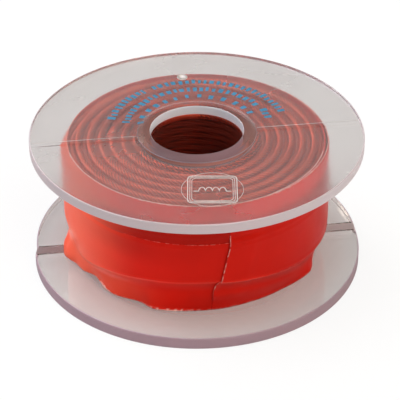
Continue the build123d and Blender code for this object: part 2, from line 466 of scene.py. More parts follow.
def matt_plastic(settings):
    """The same plastic where the mould left it matt: on the rims, the raised rim of the bore and the riser. Its tone
    follows the pale attribute: a half gives the lower rim's tone, painted darker as shade under the upper flange, one
    gives the upper rim's tone, painted lighter, and the riser is painted nearly as light; the band inside the bore's
    top keeps its own tone."""
    material, tree, surface, output = new_material("matt_moulded_plastic")
    worn = marks(tree, 160.0, 0.38, 0.5, 0.1)
    pale = add(tree, "ShaderNodeAttribute", attribute_name="pale").outputs["Fac"]
    upper = add(tree, "ShaderNodeMapRange", {"Value": pale, "From Min": 0.5, "From Max": 1.0})
    # Pale picks between the lower rim's painted shade and the upper rim's painted light.
    rims = mixed(tree, upper.outputs[0], colour(settings.lower_rim_shaded), colour(settings.upper_rim_lit))
    wall = add(tree, "ShaderNodeAttribute", attribute_name="wall").outputs["Fac"]
    rims = mixed(tree, wall, rims, colour(settings.bore_band))
    tree.links.new(rims, surface.inputs["Base Color"])
    tree.links.new(worn.outputs["Roughness"], surface.inputs["Roughness"])
    surface.inputs["Transmission Weight"].default_value = 0.35
    surface.inputs["IOR"].default_value = 1.49
    bump(tree, worn.outputs["Height"], 0.08, 0.0001, surface)
    # Light that meets the skin from inside is thrown back as by clear plastic.
    inside = add(tree, "ShaderNodeBsdfGlass", {"Color": colour(settings.plastic, 1.5), "Roughness": 0.08, "IOR": 1.49})
    clear = add(tree, "ShaderNodeMapRange", {"Value": upper.outputs[0], "To Min": 1.0, "To Max": 0.35})
    back = add(tree, "ShaderNodeNewGeometry").outputs["Backfacing"]
    share = add(tree, "ShaderNodeMath", {0: back, 1: clear.outputs[0]}, operation="MULTIPLY")
    side = add(tree, "ShaderNodeMixShader", {0: share.outputs[0]})
    tree.links.new(surface.outputs[0], side.inputs[1])
    tree.links.new(inside.outputs[0], side.inputs[2])
    # From inside the plastic, the bore's wall shows painted shade and a painted glow of the turns.
    side = bore_from_inside(tree, side, settings)
    lamps_through(tree, side, output, colour(settings.plastic, 0.75))
    return material


def enamelled_wire(settings, name="enamelled_copper_strands", share=1.0, gloss=(0.28, 0.38)):
    """Copper strands under clear reddish enamel, with shade painted into the grooves between strands and small changes
    of tone along the wire. A share below one darkens the whole colour as painted shade."""
    material, tree, surface, _ = new_material(name)
    worn = marks(tree, 90.0, *gloss, 0.1)
    groove_shade = add(tree, "ShaderNodeAttribute", attribute_name="groove_shade").outputs["Fac"]
    where = add(tree, "ShaderNodeTexCoord").outputs["Object"]
    tone = add(tree, "ShaderNodeTexNoise", {"Vector": where, "Scale": 260.0, "Detail": 2.0})
    # The groove colour is the enamel at about a fifth of its tone, as painted shade between strands.
    low, high, groove_shade_colour = (colour(settings.enamel, part * share) for part in (0.75, 1.25, 0.22))
    bright = mixed(tree, tone.outputs["Fac"], low, high)
    tree.links.new(mixed(tree, groove_shade, bright, groove_shade_colour), surface.inputs["Base Color"])
    tree.links.new(worn.outputs["Roughness"], surface.inputs["Roughness"])
    surface.inputs["Metallic"].default_value = 0.85
    surface.inputs["Coat Weight"].default_value = 0.12
    surface.inputs["Coat Roughness"].default_value = 0.15
    surface.inputs["Coat Tint"].default_value = (1.0, 0.7, 0.6, 1.0)
    bump(tree, worn.outputs["Height"], 0.1, 0.00008, surface)
    return material


def shaded_core(settings):
    """The turns inside the coil, seen only between the outer ones: the enamel at a quarter to under half its tone, as
    painted shade.
    """
    material, tree, surface, _ = new_material("inner_turns")
    worn = marks(tree, 120.0, 0.4, 0.6, 0.4)
    tint = mixed(tree, worn.outputs["Mask"], colour(settings.enamel, 0.25), colour(settings.enamel, 0.45))
    tree.links.new(tint, surface.inputs["Base Color"])
    tree.links.new(worn.outputs["Roughness"], surface.inputs["Roughness"])
    surface.inputs["Metallic"].default_value = 0.5
    bump(tree, worn.outputs["Height"], 0.3, 0.0002, surface)
    return material


def film_tape(settings):
    """Red film tape: glossy, faintly mottled where it presses on the turns, and pale along its cut edges, partly as
    painted highlight. Its colour is scaled by a painted lightness and turns paler and pinker with a painted sheen.
    """
    material, tree, surface, _ = new_material("red_film_tape")
    worn = marks(tree, 55.0, 0.28, 0.42, 0.1)
    edge = add(tree, "ShaderNodeAttribute", attribute_name="edge").outputs["Fac"]
    painted_sheen = add(tree, "ShaderNodeAttribute", attribute_name="painted_sheen").outputs["Fac"]
    base = mixed(tree, worn.outputs["Mask"], colour(settings.tape), colour(settings.tape, 0.9))
    # Painted lightness scales the colour: painted shade and painted light by height and side.
    painted_lightness = add(tree, "ShaderNodeAttribute", attribute_name="painted_lightness").outputs["Fac"]
    base = add(tree, "ShaderNodeVectorMath", {0: base, "Scale": painted_lightness}, operation="SCALE").outputs[0]
    # Painted sheen: a paler, pinker colour at the tape's left and along the fold, standing in for light.
    over = mixed(tree, painted_sheen, base, colour(settings.tape_sheen))
    where = add(tree, "ShaderNodeTexCoord").outputs["Object"]
    # Cut edges are pale, partly their own colour and partly painted highlight, broken into dots.
    nicks = add(tree, "ShaderNodeTexNoise", {"Vector": where, "Scale": 900.0, "Detail": 1.0})
    dots = add(tree, "ShaderNodeMapRange", {"Value": nicks.outputs["Fac"], "From Min": 0.45, "From Max": 0.6})
    most = add(tree, "ShaderNodeMath", {0: edge, 1: dots.outputs["Result"]}, operation="MULTIPLY")
    always = add(tree, "ShaderNodeMapRange", {"Value": edge, "From Min": 0.6, "To Max": 0.9})
    pale = add(tree, "ShaderNodeMath", {0: most.outputs[0], 1: always.outputs["Result"]}, operation="MAXIMUM")
    tree.links.new(mixed(tree, pale.outputs[0], over, colour(settings.tape_edge_glint)), surface.inputs["Base Color"])
    tree.links.new(worn.outputs["Roughness"], surface.inputs["Roughness"])
    surface.inputs["Specular IOR Level"].default_value = 0.2
    surface.inputs["Specular Tint"].default_value = (1.0, 0.3, 0.22, 1.0)
    bump(tree, worn.outputs["Height"], 0.12, 0.0003, surface)
    return material


def print_ink(settings):
    """Blue printing ink, a little uneven."""
    material, tree, surface, _ = new_material("blue_printing_ink")
    worn = marks(tree, 700.0, 0.35, 0.6, 0.3)
    tint = mixed(tree, worn.outputs["Mask"], colour(settings.ink), colour(settings.ink, 0.7))
    tree.links.new(tint, surface.inputs["Base Color"])
    tree.links.new(worn.outputs["Roughness"], surface.inputs["Roughness"])
    bump(tree, worn.outputs["Height"], 0.2, 0.00003, surface)
    return material


def frosted_plastic(settings, name="frosted_plastic", share=1.0):
    """The same plastic where it is cut or matt, so that it scatters light and looks pale."""
    material, tree, surface, _ = new_material(name)
    worn = marks(tree, 500.0, 0.35, 0.6, 0.4)
    tint = mixed(tree, worn.outputs["Mask"], colour(settings.frost, share), colour(settings.frost, 0.8 * share))
    tree.links.new(tint, surface.inputs["Base Color"])
    tree.links.new(worn.outputs["Roughness"], surface.inputs["Roughness"])
    bump(tree, worn.outputs["Height"], 0.3, 0.00004, surface)
    return material


def moulded_line(settings):
    """Fine raised lines in the plastic, paler than what shows through beside them."""
    return frosted_plastic(settings, "moulded_line", 0.85)


# ---------------------------------------------------------------- settings


def millimetres(name, description, value, low=0.0):
    """A length property that is kept in metres and given in millimetres."""
    return FloatProperty(
        name=name, description=description, default=value / 1000, min=low, unit="LENGTH", subtype="DISTANCE"
    )


def tone(name, description, value):
    """A colour property."""
    return FloatVectorProperty(
        name=name, description=description, default=value, size=3, min=0.0, max=1.0, subtype="COLOR"
    )


class InductorBobbin(bpy.types.PropertyGroup):
    """Sizes and finish of the moulded bobbin."""

    flange_radius: millimetres("Flange radius", "Radius of both flanges", BOBBIN_RADIUS)
    rear_inset: millimetres("Rear inset", "How far the raised half's rim lies inside the other's", 0.5)
    lower_flange: millimetres("Lower flange", "Thickness of the lower flange's front half", 2.85)
    rear_rise: millimetres("Rear rise", "How much higher the lower flange's rear half stands", 1.7)
    upper_flange: millimetres("Upper flange", "Thickness of the upper flange's front half", 2.6)
    underside_step: millimetres("Underside step", "How much thinner the upper flange's rear half is", 0.3)
    rim_height: millimetres("Rim height", "How far the bore's rim stands above the upper flange", 0.65)
    rim_land: millimetres("Rim land", "Width of the rim's flat top", 2.0)
    rim_slope: millimetres("Rim slope", "Width of the slope outside the rim", 1.2)
    rim_step: millimetres("Rim step", "Height of the upright step at the foot of the rim's slope", 0.25)
    bore_radius: millimetres("Bore radius", "Radius of the bore", 11.4)
    hub_wall: millimetres("Hub wall", "Thickness of the hub", 2.6)
    rounding: millimetres("Rounding", "Radius on the flanges' rims", 0.3)
    parting_angle: FloatProperty(
        name="Parting angle",
        description="Turn of the mould's parting plane from the X axis",
        default=float(np.radians(8)),
        unit="ROTATION",
        subtype="ANGLE",
    )
    clearness: FloatProperty(
        name="Clearness", description="Share of light that goes through", default=0.965, min=0, max=1, subtype="FACTOR"
    )
    plastic: tone("Plastic", "Tint of the clear plastic", (0.65, 0.62, 0.612))
    # Painted glow of the turns, put on the inside of the bore's wall.
    painted_turn_glow: tone("Hub glow", "Tone of the hub's wall seen from above through the flange", (0.7, 0.24, 0.18))
    # The lower rim's tone is painted darker as shade under the upper flange, and the upper rim's is painted lighter.
    lower_rim_shaded: tone("Lower rim", "Tone of the lower flange's rim", (0.4, 0.285, 0.36))
    upper_rim_lit: tone("Upper rim", "Tone of the upper flange's rim", (0.6, 0.515, 0.56))
    bore_band: tone("Bore band", "Tone of the matt band inside the bore's top", (0.8, 0.79, 0.87))
    # Painted shade, put on the inside of the bore's wall at its top and seen through the raised rim.
    painted_rim_shade: tone("Bore rim", "Tone of the raised rim, which looks down into the hub's wall", (0.36, 0.19, 0.215))
    frost: tone("Frosted plastic", "Colour of the gate mark and of moulded lines", (0.78, 0.70, 0.69))


class InductorWinding(bpy.types.PropertyGroup):
    """Sizes and finish of the winding."""

    wire: millimetres("Wire", "Diameter of the twisted wire", 1.8)
    lay: millimetres("Lay", "Length in which the strands go once round", 7.2)
    layers: IntProperty(name="Layers", description="Layers of turns", default=12, min=2, max=20)
    strands: IntProperty(name="Strands", description="Strands round the middle one", default=6, min=3, max=12)
    enamel: tone("Enamel", "Colour of the enamelled copper", (0.92, 0.11, 0.048))


class InductorTape(bpy.types.PropertyGroup):
    """Sizes and finish of the tape."""

    thickness: millimetres("Thickness", "Thickness of the tape", 0.2)
    tape: tone("Tape", "Colour of the tape", (0.51, 0.007, 0.003))
    # Painted sheen: colour put where the tape should look lit from behind or catch light.
    tape_sheen: tone("Free tape", "Colour where the tape stands free and light comes through", (0.95, 0.13, 0.07))
    # The cut edges' colour, also used for painted highlights where an edge catches light.
    tape_edge_glint: tone("Cut edge", "Colour of the tape's cut edges", (0.95, 0.6, 0.54))


class InductorMarks(bpy.types.PropertyGroup):
    """Printed dashes and moulded marks."""

    ink: tone("Ink", "Colour of the printed dashes", (0.03, 0.21, 0.38))
    dash_height: millimetres("Dash height", "Height of the printed dashes", 2.2)
    ring_radius: millimetres("Ring radius", "Radius of the moulded ring", 7.25)
    gate_radius: millimetres("Gate radius", "Radius of the mould's gate mark", 1.35)


class InductorStage(bpy.types.PropertyGroup):
    """Floor, light and camera."""

    shadow: FloatProperty(
        name="Shadow", description="How strongly the floor shows shadow", default=0.16, min=0, max=1, subtype="FACTOR"
    )
    shadow_through: FloatProperty(
        name="Shadow through plastic",
        description="How strongly the floor shows shadow through the plastic",
        default=0.36,
        min=0,
        max=1,
        subtype="FACTOR",
    )
    lens: FloatProperty(name="Lens", description="Focal length in millimetres", default=166.3, min=20, max=400)


SETTINGS = {
    "inductor_bobbin": InductorBobbin,
    "inductor_winding": InductorWinding,
    "inductor_tape": InductorTape,
    "inductor_marks": InductorMarks,
    "inductor_stage": InductorStage,
}


# ---------------------------------------------------------------- pieces


def bobbin_profile(s, low_radius, low_top, high_bottom):
    """Outline of one half of the bobbin: from the bore's foot out along the underside, round both flanges and the
    hub, and back down the bore."""
    mm = 1000
    bore, hub = mm * s.bore_radius, mm * (s.bore_radius + s.hub_wall)
    radius, top = mm * s.flange_radius, BOBBIN_TOP - mm * s.rim_height
    land, slope, edge, step = mm * s.rim_land, mm * s.rim_slope, mm * s.rounding, mm * s.rim_step
    corners = [
        (bore, 0),
        (low_radius, 0),
        (low_radius, low_top),
        (hub, low_top),
        (hub, high_bottom),
        (radius, high_bottom),
        (radius, top),
        (bore + land + slope, top),
        (bore + land + slope, top + step),
        (bore + land, BOBBIN_TOP),
        (bore, BOBBIN_TOP),
    ]
    radii = [edge, 0.12, edge, 0.5, 0.5, edge, edge, 0.04, 0.06, edge, edge]
    outline = rounded(corners, radii, 6, [0.15] * 7 + [0.02] * 2 + [0.15] * 2)
    return np.concatenate([outline, [(bore, high_bottom + 0.65), (bore, high_bottom + 0.4)]])


def bobbin_points(s, steps=128, bridge=0.3, bridge_steps=5):
    """Grid of the bobbin: each half of the mould turns its own profile through half a turn, and between them the
    profile eases from one to the other over a narrow strip of constant width along the parting plane, which makes
    the riser. A point in the strip lies at the strip's distance from the plane, and its distance along the plane
    is the root of its radius squared less that distance squared."""
    mm = 1000
    radius, low = mm * s.flange_radius, mm * s.lower_flange
    under = BOBBIN_TOP - mm * (s.rim_height + s.upper_flange)
    front = bobbin_profile(s, radius, low, under)
    rear = bobbin_profile(s, radius - mm * s.rear_inset, low + mm * s.rear_rise, under + mm * s.underside_step)
    halves = []
    t = np.linspace(0, 1, steps)[:, None]
    for profile, next_profile, side in ((rear, front, 1), (front, rear, -1)):
        start = np.arcsin(bridge / 2 / profile[:, 0])[None, :]
        angle = start + t * (np.pi - 2 * start)
        halves.append(
            np.stack(
                [
                    side * profile[:, 0] * np.cos(angle),
                    side * profile[:, 0] * np.sin(angle),
                    np.broadcast_to(profile[:, 1], angle.shape),
                ],
                -1,
            )
        )
        ease = np.linspace(0, 1, bridge_steps + 2)[1:-1, None]
        section = profile[None] + smooth(ease)[..., None] * (next_profile - profile)[None]
        offset = side * bridge * (0.5 - ease) * np.ones((1, len(profile)))
        halves.append(
            np.stack([-side * np.sqrt(section[..., 0] ** 2 - offset**2), offset, section[..., 1]], -1)
        )
    grid = np.concatenate(halves)
    turn = s.parting_angle
    x, y = grid[..., 0] * np.cos(turn) - grid[..., 1] * np.sin(turn), grid[..., 0] * np.sin(turn) + grid[
        ..., 1
    ] * np.cos(turn)
    return np.stack([x, y, grid[..., 2]], -1)


def finish_places(grid_shape, steps=128, bridge_steps=5, arc=6):
    """Where the bobbin is matt, and how pale it is there. Matt is one on both flanges' rims, inside the bore's top and
    on the riser, and nought on the clear faces. Pale is a half on the lower flange and one on the upper flange and
    inside the bore's top: it picks between the lower rim's painted shade and the upper rim's painted light, and the
    riser's two halves are painted light at 0.95 and one. Haze is one on the face over the winding, polished is one on
    the hub's walls, and wall is one on the bore's wall."""
    flat, full = np.zeros(arc + 2), np.ones(arc + 2)
    first, last = np.append(1.0, flat[1:]), np.append(0.0, full[1:])
    late = np.where(np.arange(arc + 2) < 3, 0.0, 1.0)
    line = [flat, last, last[::-1], flat, flat, last, last[::-1], late, late[::-1], flat, late, [1.0, 0.0]]
    low = 0.5 * full
    pale = [flat, low, low, flat, flat, full, full, 1.2 * low, 1.2 * low, flat, full, [1.0, 1.0]]
    haze = [flat, flat, flat, flat, full, full, flat, flat, full, full, flat, [0.0, 0.0]]
    polished = [full, flat, flat, full, full, flat, flat, flat, flat, flat, flat, [1.0, 1.0]]
    wall = [full, flat, flat, flat, flat, flat, flat, flat, flat, flat, late, [1.0, 1.0]]
    matt, pale, haze, polished, wall = (
        np.tile(np.concatenate(part), (grid_shape[0], 1)) for part in (line, pale, haze, polished, wall)
    )
    riser = np.concatenate([flat, full, full, first, *[flat] * 7, [0.0, 0.0]])
    # The riser is painted light on both halves, the right one fully.
    for half, riser_light in ((1, 0.95), (2, 1.0)):
        rows = np.arange(half * (steps + bridge_steps) - bridge_steps - 1, half * (steps + bridge_steps) + 1) % len(matt)
        matt[rows] = np.maximum(matt[rows], riser)
        pale[rows] = np.maximum(pale[rows], riser_light * riser)
    places = {"matt": matt, "pale": pale, "haze": haze, "polished": polished, "wall": wall}
    return {key: value.reshape(-1) for key, value in places.items()}


class InductorAddBobbin(bpy.types.Operator):
    """Adds the clear moulded bobbin."""

    bl_idname = "inductor.add_bobbin"
    bl_label = "Add Bobbin"

    def execute(self, context):
        s = context.scene.inductor_bobbin
        grid = bobbin_points(s)
        rows, columns = grid.shape[:2]
        faces = quads(rows, columns, True, True)
        part = (grid.reshape(-1, 3), faces, finish_places(grid.shape))
        piece = closed_mesh("clear_bobbin", [part], clear_plastic(s))
        piece.data.materials.append(matt_plastic(s))
        piece.data.materials.append(clear_plastic(s, "polished_hub_plastic", 1.0))
        matt = part[2]["matt"][faces].mean(1) > 0.6
        hub = part[2]["polished"][faces].mean(1) > 0.9
        piece.data.polygons.foreach_set("material_index", np.where(matt, 1, np.where(hub, 2, 0)).astype(np.int32))
        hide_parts("bobbin")
        return {"FINISHED"}


def crossing(angle, zone, width):
    """Turns gone by at an angle, in whole turns that change over smoothly in a zone of that width, all in
    degrees: each turn of wire lies level and shifts by one pitch where it crosses the zone."""
    shifted = (np.asarray(angle, float) - zone) / 360
    whole = np.floor(shifted)
    return whole + smooth((shifted - whole) * 360 / width)


class InductorAddWinding(bpy.types.Operator):
    """Adds the winding: the turns on the hub, those at both ends, and the body of the coil between them."""

    bl_idname = "inductor.add_winding"
    bl_label = "Add Winding"

    def execute(self, context):
        s = context.scene.inductor_winding
        wire, lay, strands, layers = 1000 * s.wire, 1000 * s.lay, s.strands, s.layers
        inner = 1000 * (context.scene.inductor_bobbin.bore_radius + context.scene.inductor_bobbin.hub_wall) + 0.1
        first, last = inner + wire / 2, WINDING_RADIUS - wire / 2
        layer_pitch = (last - first) / (layers - 1)
        height = WINDING_TOP - WINDING_BOTTOM
        turns = int(height / wire - 0.5)
        pitch = height / (turns + 0.5)
        top, bottom = WINDING_TOP - wire / 2, WINDING_BOTTOM + wire / 2
        step, width = 0.6, 24.0
        top_ropes, bottom_ropes = [], []
        # The turns on the hub come first, their strands nearly straight, then the top ends of every other layer.
        hub_stretch = (0, -360.0 * (turns - 1) - 300, -400.0, 6 * lay)
        for layer, start, end, lay_here in [hub_stretch] + [(n, -400.0, 400.0, lay) for n in range(0, layers, 2)]:
            zone = 128.0 + 7.0 * layer % 40
            radius = first + layer * layer_pitch
            angle = np.linspace(start, end, int(np.radians(end - start) * radius / step))
            turn = crossing(angle, 0, width)
            down = -smooth(angle / width) * pitch / 2 - np.clip(turn - 1, 0, None) * pitch
            level = np.where(angle < 0, top + np.minimum(turn + 1, 0) * pitch, top + down)
            outward = radius + layer_pitch * smooth(angle / width)
            wobble = 0.05 * ripple(angle + 37 * layer, 360, 11 + layer)
            height_now = level + np.minimum(0.0, 0.06 * ripple(angle, 360, 31 + layer) - 0.05)
            path = rope(np.radians(angle + zone), outward + wobble, height_now, wire, strands, lay_here)
            top_ropes.append(path)
        for layer in range(1, layers - 1, 2):
            zone = 205.0 + 7.0 * layer % 40
            radius = first + layer * layer_pitch
            count = int(np.radians(800) * radius / step)
            angle = np.linspace(-400, 400, count)
            turn = crossing(angle, 0, width)
            before = bottom - np.minimum(turn + 1, 0) * pitch
            after = bottom + smooth(angle / width) * pitch / 2 + np.clip(turn - 1, 0, None) * pitch
            level = np.where(angle < 0, before, after) + np.maximum(0.0, 0.06 * ripple(angle, 360, 51 + layer) + 0.05)
            outward = radius + layer_pitch * smooth(angle / width)
            bottom_ropes.append(rope(np.radians(angle + zone), outward, level, wire, strands, lay))
        # The wire's end, which lies outside the last layer under the tape.
        count = int(np.radians(95) * WINDING_RADIUS / step)
        angle = np.linspace(118, 213, count)
        level = top - 0.5 - 0.008 * (angle - 118) - 3.5 * smooth((angle - 185) / 30)
        outward = last + 0.85 * bulge(angle, level) + 0.03 * ripple(angle, 360, 71)
        top_ropes.append(rope(np.radians(angle), outward, level, wire, strands, lay))
        enamel, core = enamelled_wire(s), shaded_core(s)
        # The turns on the hub get the enamel at under half its tone, as painted shade for the inside of the bore, with
        # tighter gloss.
        shaded_hub_turns = enamelled_wire(s, "shaded_enamelled_hub_strands", 0.46, (0.1, 0.18))
        hub_turns = closed_mesh("winding_hub_turns", top_ropes[:1], shaded_hub_turns)
        top_turns = closed_mesh("winding_top_turns", top_ropes[1:], enamel)
        bottom_turns = closed_mesh("winding_bottom_turns", bottom_ropes, enamel)
        corners = [
            (first + 0.2, bottom + 0.5),
            (last - layer_pitch, bottom + 0.5),
            (last - layer_pitch, 13.2),
            (last + 0.4, 13.2),
            (last + 0.4, top - 1.0),
            (first + 0.2, top - 1.0),
        ]
        body = revolve(rounded(corners, [0.3] * 6, 4), 200)
        points, faces, _ = body
        body = (points, faces, {"groove_shade": 0.5})
        middle = closed_mesh("winding_body", [body], core)
        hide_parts("winding")
        return {"FINISHED"}


def left_sheen_mask(angle, width):
    """Mask for light painted on the tape's left, where it stands free of the winding: from nought to one, easing off
    over a width in degrees.
    """
    return 1 - smooth((np.abs((np.asarray(angle) + 350) % 360 - 180) - 7) / width)


def bulge(angle, height):
    """How far the tape stands out over the wire's end at the left: a bell curve about its direction, growing with
    height from nothing at the waist."""
    away = (np.asarray(angle) - 181 + 180) % 360 - 180
    out = 1.4 * smooth((height - 8.5) / 5.5) + 0.5 * smooth((height - 18) / 10)
    return np.exp(-((away / 21) ** 2)) * out * (1 - 0.7 * smooth((height - 29.5) / 3))


def lower_strip(height, angle):
    """Radius of the lower strip's inner face. It lies on the strip below, folds inwards under the last layer's
    lowest turn to its waist, by the height above the waist to the power 1.7, and from there eases to its hem.
    Soft folds grow towards the hem, and its top edge lies tight."""
    hem, low, waist, middle, fold, out = (around(SKIRT, angle, column) for column in range(1, 7))
    wall = 31.62 + out * smooth((height - fold + 4) / 8)
    share = np.clip((height - middle) / (fold - middle), 0, 1)
    upper = waist + (wall - waist) * share**1.7
    lower = hem + (waist - hem) * smooth((height - low) / (middle - low))
    radius = np.where(height > middle, upper, lower)
    folds = 0.10 * ripple(angle + 2.5 * height, 360, 3, 6) * smooth((14 - height) / 9)
    soft = 0.02 * ripple(angle - 1.3 * height, 360, 8, 5)
    direction = (np.asarray(angle) + 180) % 360 - 180
    tight = (0.14 + 0.14 * smooth((-118 - direction) / 8)) * smooth((height - LOWER_TAPE_TOP + 1.0) / 1.2)
    return radius + folds + soft + bulge(angle, height) - tight


def around_bore(radius, degrees, height):
    """Points at a radius, a direction in degrees and a height."""
    turn = np.radians(degrees)
    return np.stack([radius * np.cos(turn), radius * np.sin(turn), height + 0 * turn], -1)


class InductorAddTape(bpy.types.Operator):
    """Adds the two strips of tape."""

    bl_idname = "inductor.add_tape"
    bl_label = "Add Tape"

    def execute(self, context):
        s = context.scene.inductor_tape
        material = film_tape(s)
        thickness = 1000 * s.thickness
        # The upper strip, a ring with the turns showing through faintly. Its top margin leans in over the winding.
        angle = np.linspace(0, 360, 420, endpoint=False)[:, None]
        level = np.linspace(UPPER_TAPE_BOTTOM, UPPER_TAPE_TOP, 90)[None, :] + 0 * angle
        radius = UPPER_TAPE_RADIUS - thickness + 0.02 * np.cos(2 * np.pi * (level - WINDING_TOP) / 1.803)
        radius = radius + 0.03 * ripple(angle + 3 * level, 360, 5) + bulge(angle, level) * smooth((level - 18.5) / 3)
        radius = radius - (0.2 + 0.1 * ripple(angle, 360, 15)) * smooth((level - 31.9) / 0.6)
        edge = np.zeros(level.shape)
        edge[:, 0] = 0.3
        # The top edge is painted paler towards the front, a painted highlight where its lip catches light.
        edge[:, -1:] = 0.3 + 0.7 * smooth((-0.1 - np.sin(np.radians(angle))) / 0.2)
        inner, outer = around_bore(radius, angle, level), around_bore(radius + thickness, angle, level)
        # Painted sheen on the tape's left.
        free = left_sheen_mask(angle, 50) + 0 * level
        # Painted lightness: painted shade from the lower strip's top up, under the upper flange, and painted light
        # above, where the tape is seen through the flange.
        painted_lightness = 1 - 0.28 * smooth((level - LOWER_TAPE_TOP + 0.9) / 0.9) + 0.95 * smooth((level - 26.5) / 2)
        upper = closed_mesh(
            "upper_tape_strip", [shell(inner, outer, True, {"edge": edge, "painted_sheen": free, "painted_lightness": painted_lightness})], material
        )
        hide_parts("upper_tape")
        # The lower strip, whose end lies over its start.
        gone = 376 * np.linspace(0, 1, 620)[:, None]
        share = np.linspace(0, 1, 100)[None, :]
        hem_height = around(SKIRT, -82 + gone, 2)
        level = hem_height + share * (LOWER_TAPE_TOP + 0.3 - hem_height)
        angle = np.interp(level, *np.transpose(SEAM)) + gone
        low_end = smooth((level - 5.5) / 2.5)
        over = (thickness + 0.04) * (1 - smooth((gone - 12) / 6)) * (0.15 + 0.85 * low_end)
        gape = 0.4 * np.exp(-gone / 1.4) * smooth((12.8 - level) / 3) * low_end
        direction = (angle + 180) % 360 - 180
        lifted = np.exp(-(((direction + 138) / 5) ** 2)) + 0.85 * np.exp(-(((direction + 102) / 11) ** 2))
        curl = 0.4 * lifted * smooth((hem_height + 0.55 - level) / 0.5)
        radius = lower_strip(level, angle) + over + gape + curl
        inner, outer = around_bore(radius, angle, level), around_bore(radius + thickness, angle, level)
        edge = np.zeros(level.shape)
        # At the lifted places the hem's edge gets a painted highlight.
        edge[:, :3] = (0.1 + lifted)[:, :3] * (1.0, 0.9, 0.3)
        edge[:, -1] = 0.07 + 0.08 * smooth((direction[:, -1] + 112) / 6)
        # The end's cut edge is pale and fades out below 7 mm as painted shade.
        edge[0] = 0.7 * smooth((level[0] - 7.0) / 1.0)
        # Painted sheen and painted light on the left, and a painted highlight just under the fold.
        left = left_sheen_mask(angle, 85)
        fold_highlight = np.exp(-(((level - around(SKIRT, angle, 5) + 0.4) / 0.45) ** 2))
        painted_sheen = left_sheen_mask(angle, 50 + 14 * smooth((12 - level) / 5)) + 0.3 * fold_highlight * (0.25 + left)
        painted_sheen = np.minimum(painted_sheen, 1)
        # Painted lightness: lighter below the fold, on the left below the middle and at the fold, all painted light.
        painted_lightness = 1 + 0.1 * smooth((12.6 - level) / 2.5) + 0.7 * left * smooth((21 - level) / 6) + 0.35 * fold_highlight
        lower = closed_mesh(
            "lower_tape_strip", [shell(inner, outer, False, {"edge": edge, "painted_sheen": painted_sheen, "painted_lightness": painted_lightness})], material
        )
        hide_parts("lower_tape")
        # The lap of the upper strip's end over the lower strip, on the right.
        gone = 226 * np.linspace(0, 1, 400)[:, None]
        low = np.interp(-78 + gone, *np.transpose(LAP_EDGE))
        level = low + np.linspace(0, 1, 100)[None, :] * (WINDING_TOP - 0.12 - low)
        angle = np.interp(level, *np.transpose(LAP_SEAM)) + gone
        under = lower_strip(np.maximum(level, 6.0), angle) + thickness
        drop = smooth((level - LOWER_TAPE_TOP - 0.3) / 1.6)
        loose = 0.12 * smooth((low + 1.5 - level) / 1.5) + 0.06 * np.exp(-gone / 2)
        loose = loose - 0.2 * smooth((level - 31.8) / 0.6)
        radius = under + 0.06 - 0.27 * drop + loose + (thickness + 0.04) * (1 - smooth((gone - 10) / 6)) * (1 - drop)
        inner, outer = around_bore(radius, angle, level), around_bore(radius + thickness, angle, level)
        edge = np.zeros(level.shape)
        edge[:, 0] = 0.2
        # The top edge is painted paler, partly as painted highlight.
        edge[:, -1] = 0.9
        edge[[0, -1], :] = 0.5
        # Painted highlight just under the fold.
        fold_highlight = np.exp(-(((level - around(SKIRT, angle, 5) + 0.4) / 0.45) ** 2))
        # Painted lightness: painted highlight at the fold and painted light high up, where the lap is seen through the
        # flange.
        painted_lightness = 1 + 0.8 * fold_highlight + 0.8 * smooth((level - 26.5) / 2)
        values = {"edge": edge, "painted_sheen": 0.2 * fold_highlight, "painted_lightness": painted_lightness}
        lap = closed_mesh("upper_tape_lap", [shell(inner, outer, False, values)], material)
        return {"FINISHED"}


def arc_band(centre, radius, width, first, last, low, high, steps):
    """Closed low block along an arc about a centre: a rectangle of that width and height turned from the first to
    the last direction, in degrees, with its ends closed."""
    angles = np.radians(np.linspace(first, last, steps))
    outline = np.array(
        [(radius - width / 2, low), (radius + width / 2, low), (radius + width / 2, high), (radius - width / 2, high)]
    )
    points = turned(outline, angles)
    points[..., :2] += centre
    faces = quads(steps, 4, False, True)
    tail = (steps - 1) * 4
    caps = np.array([[3, 2, 1, 0], [tail, tail + 1, tail + 2, tail + 3]])
    return points.reshape(-1, 3), np.concatenate([faces, caps]), {}


# Rows of printed dashes: radius about the print's own centre, first and last direction in degrees, the dashes' share
# of the row's height, their length and the gap after each, in millimetres.
PRINT_ROWS = [
    (21.7, 172.5, 18.5, 0.85, 0.9, 0.75), (17.8, 182.0, 14.0, 0.82, 0.95, 0.72), (14.25, 178.0, 16.5, 0.75, 1.1, 2.0),
]  # fmt: skip


class InductorAddPrinting(bpy.types.Operator):
    """Adds three arcs of plain printed dashes on the upper flange."""

    bl_idname = "inductor.add_printing"
    bl_label = "Add Printing"

    def execute(self, context):
        s = context.scene.inductor_marks
        top = BOBBIN_TOP - 1000 * context.scene.inductor_bobbin.rim_height
        draw = np.random.default_rng(4)
        parts = []
        for radius, first, last, share, length, gap in PRINT_ROWS:
            at = first
            while at > last:
                sweep = np.degrees(length * draw.uniform(0.7, 1.3) / radius)
                if gap > 1 or draw.random() > 0.1:
                    tall = 1000 * s.dash_height * share * draw.uniform(0.8, 1.1)
                    there = radius + 0.15 * draw.standard_normal()
                    parts.append(arc_band((0.4, 3.1), there, tall, at - sweep, at, top - 0.01, top + 0.02, 5))
                at -= sweep + np.degrees(gap * draw.uniform(0.8, 1.2) / radius)
        closed_mesh("printed_dashes", parts, print_ink(s), False)
        return {"FINISHED"}


